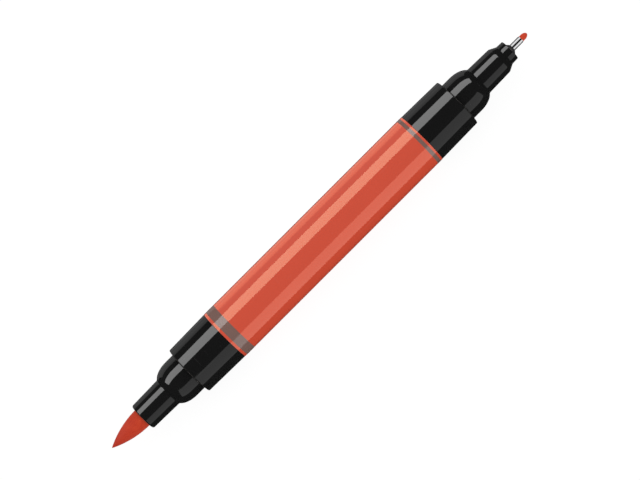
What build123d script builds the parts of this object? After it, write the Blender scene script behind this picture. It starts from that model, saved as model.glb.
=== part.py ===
from build123d import *

import math
import os

# Uncapped dual-tip calligraphy marker: a soft brush nib at one end of a plain round barrel
# and a fine fibre tip in a steel tube at the other. Both nibs drink from one fibre reservoir.
#
# Frame: millimetres, +X along the pen's axis from the brush tip towards the fine tip,
# origin on the axis halfway along the pen. The pen lies level, with +Z up.
#
# The pieces of each end are built in that end's own frame: its origin is on the axis at
# the barrel's end face, and its +X points out of the barrel. at_brush_end and at_fine_end
# carry a finished solid from there to its place in the pen.

# ---------------------------------------------------------------- driving dimensions, mm
# barrel
BARREL_DIAMETER = 13.5
BARREL_LENGTH = 64.1
BARREL_WALL = 1.1
BARREL_EDGE_CHAMFER = 0.12
BARREL_RIB_COUNT = 6
BARREL_RIB_THICKNESS = 0.8

# plug of each front piece, snapped into the barrel
PLUG_LENGTH = 8.0
PLUG_LEAD_CHAMFER = 0.4
BEAD_INSET = 5.0
BEAD_LENGTH = 1.6
BEAD_HEIGHT = 0.15

# sleeve of each front piece, flush with the barrel
BRUSH_SLEEVE_LENGTH = 11.5
FINE_SLEEVE_LENGTH = 11.6
SLEEVE_END_DIAMETER = 13.04
SLEEVE_STEP_AT_BARREL = 0.03
SLEEVE_EDGE_RADIUS = 0.3

# cap seat, and the elliptical dome in front of it
CAP_SEAT_DIAMETER = 10.5
CAP_SEAT_LENGTH = 2.6
DOME_REACH = 4.45
DOME_DROP = 2.32
DOME_FOOT_RADIUS = 0.25

# nozzles
NOZZLE_ROOT_DIAMETER = 7.4
BRUSH_NOZZLE_LENGTH = 8.34
BRUSH_NOZZLE_MOUTH_DIAMETER = 7.06
BRUSH_NOZZLE_EDGE_RADIUS = 0.42
FINE_NOZZLE_LENGTH = 6.79
FINE_NOZZLE_END_DIAMETER = 7.08
FINE_NOZZLE_EDGE_RADIUS = 0.25
FINE_CONE_LENGTH = 1.68
FINE_COLLAR_ROOT_DIAMETER = 5.34
FINE_COLLAR_END_DIAMETER = 5.22
FINE_COLLAR_LENGTH = 1.82
FINE_COLLAR_ROOT_RADIUS = 0.8
FINE_COLLAR_EDGE_RADIUS = 0.2
VENT_COUNT = 4
VENT_WIDTH = 0.6
VENT_DEPTH = 0.35

# brush nib: one soft rod with a point at each end, parted at a ball where it bends
BRUSH_DIAMETER = 4.85
BRUSH_POINT_LENGTH = 9.95
BRUSH_TIP_RADIUS = 0.12
BRUSH_ROD_LENGTH = 12.0
BEND_CENTRE_AHEAD = 0.5
BEND_BALL_DIAMETER = 4.4
BEND_CUP_RIM_BACK = 1.1

# fine tip
FINE_NIB_DIAMETER = 1.47
FINE_NIB_TIP_LENGTH = 1.1
FINE_NIB_TIP_RADIUS = 0.45
FINE_NIB_PROTRUSION = 1.85
FINE_NIB_IN_RESERVOIR = 8.0
FINE_NIB_BACK_CHAMFER = 0.2
TUBE_WALL = 0.1
TUBE_PROTRUSION = 3.56
TUBE_HELD_LENGTH = 6.0
TUBE_CRIMP_LENGTH = 0.3
TUBE_CRIMP_DEPTH = 0.06
HOLDER_DIAMETER = 3.4
HOLDER_CONE_LENGTH = 0.75
HOLDER_LENGTH = 11.0
HOLDER_FLANGE_DIAMETER = 4.4
HOLDER_FLANGE_LENGTH = 1.5

# reservoir, and the bore that holds it in each front piece
RESERVOIR_DIAMETER = 8.2
RESERVOIR_FILM = 0.12
RESERVOIR_GAP_AT_BRUSH = 2.2
RESERVOIR_GAP_AT_FINE = 1.0
RESERVOIR_BORE_PAST_SEAT = 1.4
FUNNEL_LENGTH = 0.6

# clearances, on the radius
PRESS_GAP = 0.01
SLIDE_GAP = 0.05
LOOSE_GAP = 0.1

# shorter than any real edge, so two points this close are one point
POINT_TOLERANCE = 1e-6
# how near an edge must lie to the place it is looked for
EDGE_TOLERANCE = 1e-4

# ---------------------------------------------------------------- worked out from them
barrel_r = BARREL_DIAMETER / 2
barrel_bore_r = barrel_r - BARREL_WALL
plug_r = barrel_bore_r - PRESS_GAP
seat_r = CAP_SEAT_DIAMETER / 2
sleeve_root_r = barrel_r - SLEEVE_STEP_AT_BARREL
sleeve_end_r = SLEEVE_END_DIAMETER / 2

nozzle_root_r = NOZZLE_ROOT_DIAMETER / 2
dome_centre_r = seat_r - DOME_DROP
dome_foot_angle = math.asin((nozzle_root_r - dome_centre_r) / DOME_DROP)
dome_length = DOME_REACH * math.cos(dome_foot_angle)

brush_r = BRUSH_DIAMETER / 2
brush_bore_r = brush_r + SLIDE_GAP
brush_mouth_r = BRUSH_NOZZLE_MOUTH_DIAMETER / 2
ball_r = BEND_BALL_DIAMETER / 2
cup_r = ball_r + SLIDE_GAP

fine_nib_r = FINE_NIB_DIAMETER / 2
tube_bore_r = fine_nib_r + PRESS_GAP
tube_r = tube_bore_r + TUBE_WALL
holder_r = HOLDER_DIAMETER / 2
flange_r = HOLDER_FLANGE_DIAMETER / 2
fine_nozzle_end_r = FINE_NOZZLE_END_DIAMETER / 2
collar_root_r = FINE_COLLAR_ROOT_DIAMETER / 2
collar_end_r = FINE_COLLAR_END_DIAMETER / 2

reservoir_r = RESERVOIR_DIAMETER / 2
film_bore_r = reservoir_r - RESERVOIR_FILM
core_r = film_bore_r - PRESS_GAP
reservoir_bore_r = reservoir_r + LOOSE_GAP

# stations at the brush end, outwards from the barrel's end face
brush_dome_start = BRUSH_SLEEVE_LENGTH + CAP_SEAT_LENGTH
brush_mouth = brush_dome_start + dome_length + BRUSH_NOZZLE_LENGTH
brush_tip = brush_mouth + BRUSH_POINT_LENGTH
brush_bore_end = brush_dome_start + RESERVOIR_BORE_PAST_SEAT
brush_rod_back = brush_mouth - BRUSH_ROD_LENGTH
bend_centre = brush_mouth + BEND_CENTRE_AHEAD

# stations at the fine end, outwards from the barrel's end face
fine_dome_start = FINE_SLEEVE_LENGTH + CAP_SEAT_LENGTH
fine_nozzle_end = fine_dome_start + dome_length + FINE_NOZZLE_LENGTH
fine_collar_start = fine_nozzle_end + FINE_CONE_LENGTH
fine_face = fine_collar_start + FINE_COLLAR_LENGTH
fine_tube_end = fine_face + TUBE_PROTRUSION
fine_tip = fine_tube_end + FINE_NIB_PROTRUSION
fine_bore_end = fine_dome_start + RESERVOIR_BORE_PAST_SEAT
fine_reservoir_face = fine_bore_end - RESERVOIR_GAP_AT_FINE
fine_nib_back = fine_reservoir_face - FINE_NIB_IN_RESERVOIR
holder_back = fine_face - HOLDER_LENGTH
holder_shoulder = holder_back + HOLDER_FLANGE_LENGTH

# stations along the pen
pen_length = brush_tip + BARREL_LENGTH + fine_tip
barrel_start = brush_tip - pen_length / 2
barrel_end = barrel_start + BARREL_LENGTH
reservoir_start = barrel_start - brush_bore_end + RESERVOIR_GAP_AT_BRUSH
reservoir_end = barrel_end + fine_reservoir_face


# ---------------------------------------------------------------- helpers
def turned(*outline):
    """Solid of revolution about X, from a closed chain of (x, radius) points and curves.

    Its seam runs along the top of the pen.
    """
    edges = [item for item in outline if isinstance(item, Edge)]
    for here, after in zip(outline, outline[1:] + outline[:1]):
        start = here @ 1 if isinstance(here, Edge) else Vector(*here)
        stop = after @ 0 if isinstance(after, Edge) else Vector(*after)
        if (stop - start).length > POINT_TOLERANCE:
            edges.append(Edge.make_line(start, stop))
    return Rot(90, 0, 0) * revolve(make_face(edges), Axis.X)


def rod(start, end, radius):
    """Plain cylinder on the axis, from one station to another."""
    return turned((start, 0), (start, radius), (end, radius), (end, 0))


def rings(solid, x, radius):
    """Circular edges of a turned solid at one station and radius."""

    def here(edge):
        level = abs(edge.arc_center.X - x) < EDGE_TOLERANCE
        return level and abs(edge.radius - radius) < EDGE_TOLERANCE

    return solid.edges().filter_by(GeomType.CIRCLE).filter_by(here)


def at_brush_end(solid):
    """Carries a solid from the brush end's own frame to its place in the pen."""
    return Pos(barrel_start, 0, 0) * Rot(0, 0, 180) * solid


def at_fine_end(solid):
    """Carries a solid from the fine end's own frame to its place in the pen."""
    return Pos(barrel_end, 0, 0) * solid


def bead(middle, radius):
    """Arc of a snap bead, or of its groove, BEAD_HEIGHT proud of a radius."""
    start = (middle - BEAD_LENGTH / 2, radius)
    end = (middle + BEAD_LENGTH / 2, radius)
    return ThreePointArc(start, (middle, radius + BEAD_HEIGHT), end)


def ogive(radius, length, blunt):
    """Point of a round rod: it stands on the origin, narrows along +X and ends in a blunt tip."""
    tip_centre = length - blunt
    side = (tip_centre**2 + radius**2 - blunt**2) / (2 * (radius - blunt))
    side_angle = math.degrees(math.asin(tip_centre / (side - blunt)))
    side_arc = CenterArc((0, radius - side), side, 90, -side_angle)
    tip_arc = CenterArc((tip_centre, 0), blunt, 90 - side_angle, side_angle - 90)
    return turned((0, 0), side_arc, tip_arc)


# ---------------------------------------------------------------- barrel
def barrel():
    """Plain tube with a snap groove near each end and ribs that centre the reservoir."""
    tube = turned(
        (0, barrel_r),
        (0, barrel_bore_r),
        bead(BEAD_INSET, barrel_bore_r),
        bead(BARREL_LENGTH - BEAD_INSET, barrel_bore_r),
        (BARREL_LENGTH, barrel_bore_r),
        (BARREL_LENGTH, barrel_r),
    )
    outer_edges = rings(tube, 0, barrel_r) + rings(tube, BARREL_LENGTH, barrel_r)
    tube = chamfer(outer_edges, BARREL_EDGE_CHAMFER)
    rib_length = BARREL_LENGTH - 2 * (PLUG_LENGTH + LOOSE_GAP)
    rib_root_r = barrel_r - BARREL_WALL / 2
    rib_height = rib_root_r - reservoir_bore_r
    rib = Box(rib_length, BARREL_RIB_THICKNESS, rib_height)
    rib_place = Pos(BARREL_LENGTH / 2, 0, reservoir_bore_r + rib_height / 2)
    for index in range(BARREL_RIB_COUNT):
        tube += Rot(index * 360 / BARREL_RIB_COUNT, 0, 0) * rib_place * rib
    return Pos(barrel_start, 0, 0) * tube


# ---------------------------------------------------------------- front pieces
def front_outline(sleeve_length):
    """Outside of a front piece, from its plug's back end to the foot of its dome."""
    dome_start = sleeve_length + CAP_SEAT_LENGTH
    dome_turn = math.degrees(dome_foot_angle) - 90
    dome = EllipticalCenterArc((dome_start, dome_centre_r), DOME_REACH, DOME_DROP, 90, arc_size=dome_turn)
    return [
        (-PLUG_LENGTH, reservoir_bore_r),
        (-PLUG_LENGTH, plug_r),
        bead(-BEAD_INSET, plug_r),
        (0, plug_r),
        (0, sleeve_root_r),
        (sleeve_length, sleeve_end_r),
        (sleeve_length, seat_r),
        dome,
    ]


def round_front(front, sleeve_length):
    """Softens the edges that both front pieces share."""
    front = chamfer(rings(front, -PLUG_LENGTH, plug_r), PLUG_LEAD_CHAMFER)
    front = fillet(rings(front, sleeve_length, sleeve_end_r), SLEEVE_EDGE_RADIUS)
    dome_foot = sleeve_length + CAP_SEAT_LENGTH + dome_length
    return fillet(rings(front, dome_foot, nozzle_root_r), DOME_FOOT_RADIUS)


def brush_section():
    """Black front piece of the brush end, bored for the reservoir and the brush nib."""
    front = turned(
        *front_outline(BRUSH_SLEEVE_LENGTH),
        (brush_mouth, brush_mouth_r),
        (brush_mouth, brush_bore_r),
        (brush_bore_end + FUNNEL_LENGTH, brush_bore_r),
        (brush_bore_end, reservoir_bore_r),
    )
    front = round_front(front, BRUSH_SLEEVE_LENGTH)
    front = fillet(rings(front, brush_mouth, brush_mouth_r), BRUSH_NOZZLE_EDGE_RADIUS)
    groove_length = brush_mouth - brush_bore_end
    groove_floor_r = brush_bore_r + VENT_DEPTH
    groove = Box(groove_length, VENT_WIDTH, groove_floor_r)
    groove_place = Pos(brush_bore_end + groove_length / 2, 0, groove_floor_r / 2)
    for index in range(VENT_COUNT):
        front -= Rot(index * 360 / VENT_COUNT, 0, 0) * groove_place * groove
    return at_brush_end(front)


def fine_section():
    """Black front piece of the fine end, bored for the reservoir and the tip holder."""
    front = turned(
        *front_outline(FINE_SLEEVE_LENGTH),
        (fine_nozzle_end, fine_nozzle_end_r),
        (fine_collar_start, collar_root_r),
        (fine_face, collar_end_r),
        (fine_face, holder_r + PRESS_GAP),
        (holder_shoulder, holder_r + PRESS_GAP),
        (holder_shoulder, flange_r + PRESS_GAP),
        (fine_bore_end + FUNNEL_LENGTH, flange_r + PRESS_GAP),
        (fine_bore_end, reservoir_bore_r),
    )
    front = round_front(front, FINE_SLEEVE_LENGTH)
    front = fillet(rings(front, fine_nozzle_end, fine_nozzle_end_r), FINE_NOZZLE_EDGE_RADIUS)
    front = fillet(rings(front, fine_collar_start, collar_root_r), FINE_COLLAR_ROOT_RADIUS)
    front = fillet(rings(front, fine_face, collar_end_r), FINE_COLLAR_EDGE_RADIUS)
    return at_fine_end(front)


# ---------------------------------------------------------------- brush nib
def brush_nib_stem():
    """Rod of the brush nib, with its rear point and the cup that the front point turns in."""
    rim = bend_centre - BEND_CUP_RIM_BACK
    rear_point = ogive(brush_r, BRUSH_POINT_LENGTH, BRUSH_TIP_RADIUS)
    stem = rod(brush_rod_back, rim, brush_r)
    stem += Pos(brush_rod_back, 0, 0) * Rot(0, 0, 180) * rear_point
    stem -= Pos(bend_centre, 0, 0) * Sphere(cup_r)
    return at_brush_end(stem)


def brush_nib_point():
    """Front point of the brush nib, on the ball that it bends about."""
    point = Pos(brush_mouth, 0, 0) * ogive(brush_r, BRUSH_POINT_LENGTH, BRUSH_TIP_RADIUS)
    point -= rod(brush_rod_back, bend_centre, BRUSH_DIAMETER)
    point += Pos(bend_centre, 0, 0) * Sphere(ball_r)
    return at_brush_end(point)


# ---------------------------------------------------------------- fine tip
def fine_tip_holder():
    """Bushing pressed into the fine nozzle from behind, with a cone round the steel tube."""
    tube_seat_r = tube_r + PRESS_GAP
    bushing = turned(
        (holder_back, fine_nib_r + LOOSE_GAP),
        (holder_back, flange_r),
        (holder_shoulder, flange_r),
        (holder_shoulder, holder_r),
        (fine_face, holder_r),
        (fine_face + HOLDER_CONE_LENGTH, tube_seat_r),
        (fine_face - TUBE_HELD_LENGTH, tube_seat_r),
        (fine_face - TUBE_HELD_LENGTH, fine_nib_r + LOOSE_GAP),
    )
    return at_fine_end(bushing)


def fine_tip_tube():
    """Thin steel tube round the fine nib, turned in a little at its front edge."""
    tube = turned(
        (fine_face - TUBE_HELD_LENGTH, tube_bore_r),
        (fine_face - TUBE_HELD_LENGTH, tube_r),
        (fine_tube_end - TUBE_CRIMP_LENGTH, tube_r),
        (fine_tube_end, tube_r - TUBE_CRIMP_DEPTH),
        (fine_tube_end, tube_bore_r),
    )
    return at_fine_end(tube)


def fine_nib():
    """Fibre rod of the fine tip, from the reservoir to its rounded writing end."""
    tip_start = fine_tip - FINE_NIB_TIP_LENGTH
    nib = rod(fine_nib_back, tip_start, fine_nib_r)
    nib += Pos(tip_start, 0, 0) * ogive(fine_nib_r, FINE_NIB_TIP_LENGTH, FINE_NIB_TIP_RADIUS)
    nib = chamfer(rings(nib, fine_nib_back, fine_nib_r), FINE_NIB_BACK_CHAMFER)
    return at_fine_end(nib)


# ---------------------------------------------------------------- reservoir
def reservoir_core():
    """Fibre ink reservoir, with a pocket for the brush nib and a hole for the fine nib."""
    pocket_r = brush_r + LOOSE_GAP
    pocket_point = ogive(pocket_r, BRUSH_POINT_LENGTH + LOOSE_GAP, BRUSH_TIP_RADIUS + LOOSE_GAP)
    pocket = rod(brush_rod_back, brush_mouth, pocket_r)
    pocket += Pos(brush_rod_back, 0, 0) * Rot(0, 0, 180) * pocket_point
    nib_hole = rod(fine_nib_back, fine_tip, fine_nib_r + PRESS_GAP)
    core = rod(reservoir_start, reservoir_end, core_r)
    return core - at_brush_end(pocket) - at_fine_end(nib_hole)


def reservoir_film():
    """Thin film rolled round the reservoir, open at both ends."""
    return turned(
        (reservoir_start, film_bore_r),
        (reservoir_start, reservoir_r),
        (reservoir_end, reservoir_r),
        (reservoir_end, film_bore_r),
    )


# ---------------------------------------------------------------- write the pieces
PIECES = {
    "barrel": barrel,
    "brush_section": brush_section,
    "brush_nib_stem": brush_nib_stem,
    "brush_nib_point": brush_nib_point,
    "fine_section": fine_section,
    "fine_tip_holder": fine_tip_holder,
    "fine_tip_tube": fine_tip_tube,
    "fine_nib": fine_nib,
    "reservoir_core": reservoir_core,
    "reservoir_film": reservoir_film,
}

os.makedirs("parts", exist_ok=True)
for name, make in PIECES.items():
    export_step(make(), f"parts/{name}.step")
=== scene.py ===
"""Looks of a dual-tip calligraphy marker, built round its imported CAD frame.

Lengths are in metres, in the frame of the CAD: the pen lies level with its axis along X, the
brush nib towards -X, the fine tip towards +X, and +Z up. The origin is on the pen's axis.
"""

import logging
import math
from collections.abc import Iterable, Sequence
from dataclasses import dataclass
from enum import Enum
from itertools import pairwise

import bmesh
import bpy
from mathutils import Matrix, Vector


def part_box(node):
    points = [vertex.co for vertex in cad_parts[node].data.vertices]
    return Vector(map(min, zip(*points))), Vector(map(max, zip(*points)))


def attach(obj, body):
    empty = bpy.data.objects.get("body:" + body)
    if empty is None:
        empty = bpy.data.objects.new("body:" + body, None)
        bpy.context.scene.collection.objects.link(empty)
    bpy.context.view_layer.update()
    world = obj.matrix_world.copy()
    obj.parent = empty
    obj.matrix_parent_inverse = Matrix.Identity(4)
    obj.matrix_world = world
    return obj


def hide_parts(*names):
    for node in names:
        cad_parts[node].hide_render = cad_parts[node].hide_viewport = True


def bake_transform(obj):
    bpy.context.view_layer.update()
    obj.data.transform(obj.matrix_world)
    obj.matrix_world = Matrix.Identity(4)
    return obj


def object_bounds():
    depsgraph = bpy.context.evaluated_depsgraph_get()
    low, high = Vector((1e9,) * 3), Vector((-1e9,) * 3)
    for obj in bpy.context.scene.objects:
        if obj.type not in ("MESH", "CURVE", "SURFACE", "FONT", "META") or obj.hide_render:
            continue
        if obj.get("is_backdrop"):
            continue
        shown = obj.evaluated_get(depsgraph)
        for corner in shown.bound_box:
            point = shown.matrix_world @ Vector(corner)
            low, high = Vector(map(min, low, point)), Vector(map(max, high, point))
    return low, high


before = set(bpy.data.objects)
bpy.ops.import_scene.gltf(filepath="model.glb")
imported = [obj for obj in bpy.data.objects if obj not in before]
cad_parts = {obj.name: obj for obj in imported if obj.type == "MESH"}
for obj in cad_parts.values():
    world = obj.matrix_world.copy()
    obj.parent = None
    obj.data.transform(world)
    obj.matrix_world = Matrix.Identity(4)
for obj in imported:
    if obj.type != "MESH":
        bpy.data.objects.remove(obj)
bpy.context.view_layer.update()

log = logging.getLogger("marker")

MM = 1e-3
AXIS_SEGMENTS = 144
TIP_SEGMENTS = 96
SAME_PLACE = 0.002 * MM
SMOOTH_BELOW = math.radians(35)
PEN_BODY = "pen_body"

Colour = tuple[float, float, float, float]

SCRATCHED = (0.85, 0.83, 0.8, 1.0)
DUST = (0.8, 0.79, 0.76, 1.0)
RUBBED = (0.55, 0.5, 0.47, 1.0)


class End(Enum):
    """The pen's two ends, as the way that each one points along X."""

    BRUSH = -1
    FINE = 1


class Closing(Enum):
    """How a turned piece is closed once its outline is done."""

    LOOP = "the last ring is joined to the first, as on a tube"
    POINTS = "both ends are drawn to a point on the axis, as on a solid rod"


@dataclass(frozen=True)
class Ring:
    """One ring of a turned piece.

    Attributes:
        x: Its place along the pen.
        radius: Its radius about the pen's axis.
    """

    x: float
    radius: float


def srgb(red: int, green: int, blue: int) -> Colour:
    """Turns a colour of 0 to 255 a channel into the linear colour that shaders take.

    Args:
        red: The red channel.
        green: The green channel.
        blue: The blue channel.

    Returns:
        The same colour, linear and opaque.
    """

    def linear(channel: int) -> float:
        """Undoes the sRGB curve for one channel."""
        share = channel / 255
        return share / 12.92 if share <= 0.04045 else ((share + 0.055) / 1.055) ** 2.4

    return (linear(red), linear(green), linear(blue), 1.0)


# ------------------------------------------------------------------ outlines


def spread(start: Ring, end: Ring, steps: int) -> list[Ring]:
    """Evenly spaced rings along a straight side, both ends included.

    Args:
        start: The first ring.
        end: The last ring.
        steps: How many equal lengths lie between them.

    Returns:
        The rings in order.
    """
    shares = [step / steps for step in range(steps + 1)]
    return [
        Ring(start.x + (end.x - start.x) * share, start.radius + (end.radius - start.radius) * share)
        for share in shares
    ]


def arc(centre: Ring, reach: float, rise: float, start: float, end: float, steps: int) -> list[Ring]:
    """Rings along part of an ellipse or circle drawn in the outline's plane.

    Args:
        centre: The ellipse's centre.
        reach: Its half width along X, negative to draw it towards -X.
        rise: Its half height away from the axis.
        start: The first angle from X, in degrees.
        end: The last angle from X, in degrees.
        steps: How many chords it is drawn with.

    Returns:
        The rings in order, both ends included.
    """
    angles = [math.radians(start + (end - start) * step / steps) for step in range(steps + 1)]
    return [Ring(centre.x + reach * math.cos(a), centre.radius + rise * math.sin(a)) for a in angles]


def without_repeats(outline: Iterable[Ring]) -> list[Ring]:
    """Drops each ring that stands where the one before it does.

    Args:
        outline: The rings in order.

    Returns:
        The rings that are left, in the same order.
    """
    kept: list[Ring] = []
    for ring in outline:
        if not kept or math.dist((ring.x, ring.radius), (kept[-1].x, kept[-1].radius)) > SAME_PLACE:
            kept.append(ring)
    return kept


# ------------------------------------------------------------------ the bench


def deselect_everything() -> None:
    """Leaves object mode with nothing selected."""
    if bpy.context.mode != "OBJECT":
        bpy.ops.object.mode_set(mode="OBJECT")
    bpy.ops.object.select_all(action="DESELECT")


def pick(piece: bpy.types.Object) -> None:
    """Makes a piece the only selected one, and the active one.

    Args:
        piece: The piece.
    """
    deselect_everything()
    piece.select_set(True)
    bpy.context.view_layer.objects.active = piece


class Workpiece:
    """A mesh on the bench, shaped with Blender's own edit tools.

    Args:
        piece: The mesh object, placed where it belongs.
        name: The name that the piece gets.
    """

    def __init__(self, piece: bpy.types.Object, name: str) -> None:
        """Takes the mesh on the bench, names it and puts its place into it."""
        self.piece = piece
        piece.name = name
        piece.data.name = name
        pick(piece)
        bpy.ops.object.transform_apply(location=True, rotation=True, scale=True)

    @classmethod
    def turned(
        cls,
        name: str,
        outline: Iterable[Ring],
        closing: Closing,
        segments: int = AXIS_SEGMENTS,
    ) -> "Workpiece":
        """Turns a piece about the pen's axis, ring by ring.

        Args:
            name: The piece's name.
            outline: Its rings in order. A solid piece starts and ends with a ring of radius 0.
            closing: How it is closed.
            segments: How many sides each ring has.

        Returns:
            The closed piece, with its faces turned outwards.
        """
        rings = without_repeats(outline)
        first_point, last_point = rings[0], rings[-1]
        if closing is Closing.POINTS:
            rings = rings[1:-1]
        else:
            rings.append(rings[0])
        deselect_everything()
        bpy.ops.mesh.primitive_circle_add(
            vertices=segments,
            radius=rings[0].radius,
            fill_type="NOTHING",
            location=(rings[0].x, 0, 0),
            rotation=(0, math.pi / 2, 0),
        )
        work = cls(bpy.context.active_object, name)
        work.edit()
        bpy.ops.mesh.select_all(action="SELECT")
        for here, after in pairwise(rings):
            work.extrude_ring(here, after)
        if closing is Closing.POINTS:
            work.draw_to_point(rings[-1], last_point)
            work.select_rings([rings[0]])
            work.draw_to_point(rings[0], first_point)
        bpy.ops.mesh.select_all(action="SELECT")
        bpy.ops.mesh.remove_doubles(threshold=SAME_PLACE / 2)
        bpy.ops.mesh.normals_make_consistent(inside=False)
        deselect_everything()
        return work

    def edit(self) -> None:
        """Opens the piece in edit mode, with its vertices to be selected."""
        pick(self.piece)
        bpy.ops.object.mode_set(mode="EDIT")
        bpy.ops.mesh.select_mode(type="VERT")

    @staticmethod
    def extrude_ring(here: Ring, after: Ring) -> None:
        """Extrudes the selected ring to the next one.

        Args:
            here: The selected ring.
            after: Where the new ring goes.
        """
        bpy.ops.mesh.extrude_region_move(TRANSFORM_OT_translate={"value": (after.x - here.x, 0, 0)})
        if after.radius != here.radius:
            scale = after.radius / here.radius
            bpy.ops.transform.resize(value=(1, scale, scale), center_override=(after.x, 0, 0))

    @staticmethod
    def draw_to_point(here: Ring, point: Ring) -> None:
        """Closes the selected ring with a fan to a point on the axis.

        Args:
            here: The selected ring.
            point: The ring of radius 0 that it ends in.
        """
        bpy.ops.mesh.extrude_region_move(TRANSFORM_OT_translate={"value": (point.x - here.x, 0, 0)})
        bpy.ops.mesh.merge(type="CENTER")

    def select_rings(self, rings: Sequence[Ring]) -> None:
        """Selects the vertices and edges of some rings, and nothing else.

        Args:
            rings: The rings, by their places. The piece is in edit mode.
        """
        bpy.ops.mesh.select_all(action="DESELECT")
        mesh = bmesh.from_edit_mesh(self.piece.data)
        for vertex in mesh.verts:
            radius = math.hypot(vertex.co.y, vertex.co.z)
            vertex.select = any(
                abs(vertex.co.x - ring.x) < SAME_PLACE and abs(radius - ring.radius) < SAME_PLACE
                for ring in rings
            )
        mesh.select_flush(True)
        bmesh.update_edit_mesh(self.piece.data)

    def round_rings(self, rings: Sequence[Ring], radius: float, steps: int = 4) -> None:
        """Rounds the edges that run round the piece at some rings.

        Args:
            rings: The rings to round.
            radius: The radius of the rounding.
            steps: How many strips of faces it gets.
        """
        self.edit()
        self.select_rings(rings)
        bpy.ops.mesh.bevel(offset_type="OFFSET", offset=radius, segments=steps, profile=0.5, affect="EDGES")
        deselect_everything()

    def cut(self, cutter: bpy.types.Object) -> None:
        """Cuts another piece's shape out of this one, and throws the cutter away.

        Args:
            cutter: A closed mesh.
        """
        pick(self.piece)
        boolean = self.piece.modifiers.new("cut", "BOOLEAN")
        boolean.operation = "DIFFERENCE"
        boolean.solver = "EXACT"
        boolean.object = cutter
        bpy.ops.object.modifier_apply(modifier=boolean.name)
        bpy.data.objects.remove(cutter)

    def finished(self, body: str, material: bpy.types.Material, slot: str) -> bpy.types.Object:
        """Smooths the piece, dresses it and hangs it on its CAD body.

        Args:
            body: The CAD body that it moves with.
            material: Its finish.
            slot: The record's material slot. It is not used.

        Returns:
            The finished piece.
        """
        pick(self.piece)
        bpy.ops.object.shade_smooth_by_angle(angle=SMOOTH_BELOW)
        even = self.piece.modifiers.new("even_normals", "WEIGHTED_NORMAL")
        even.mode = "FACE_AREA_WITH_ANGLE"
        even.keep_sharp = True
        bpy.ops.object.modifier_apply(modifier=even.name)
        self.dress(material, slot)
        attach(self.piece, body)
        return self.piece

    def dress(self, material: bpy.types.Material, slot: str) -> None:
        """Gives the piece its one material.

        Args:
            material: Its finish.
            slot: The record's material slot. It is not used.
        """
        self.piece.data.materials.clear()
        self.piece.data.materials.append(material)


# ------------------------------------------------------------------ shader wiring


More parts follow.
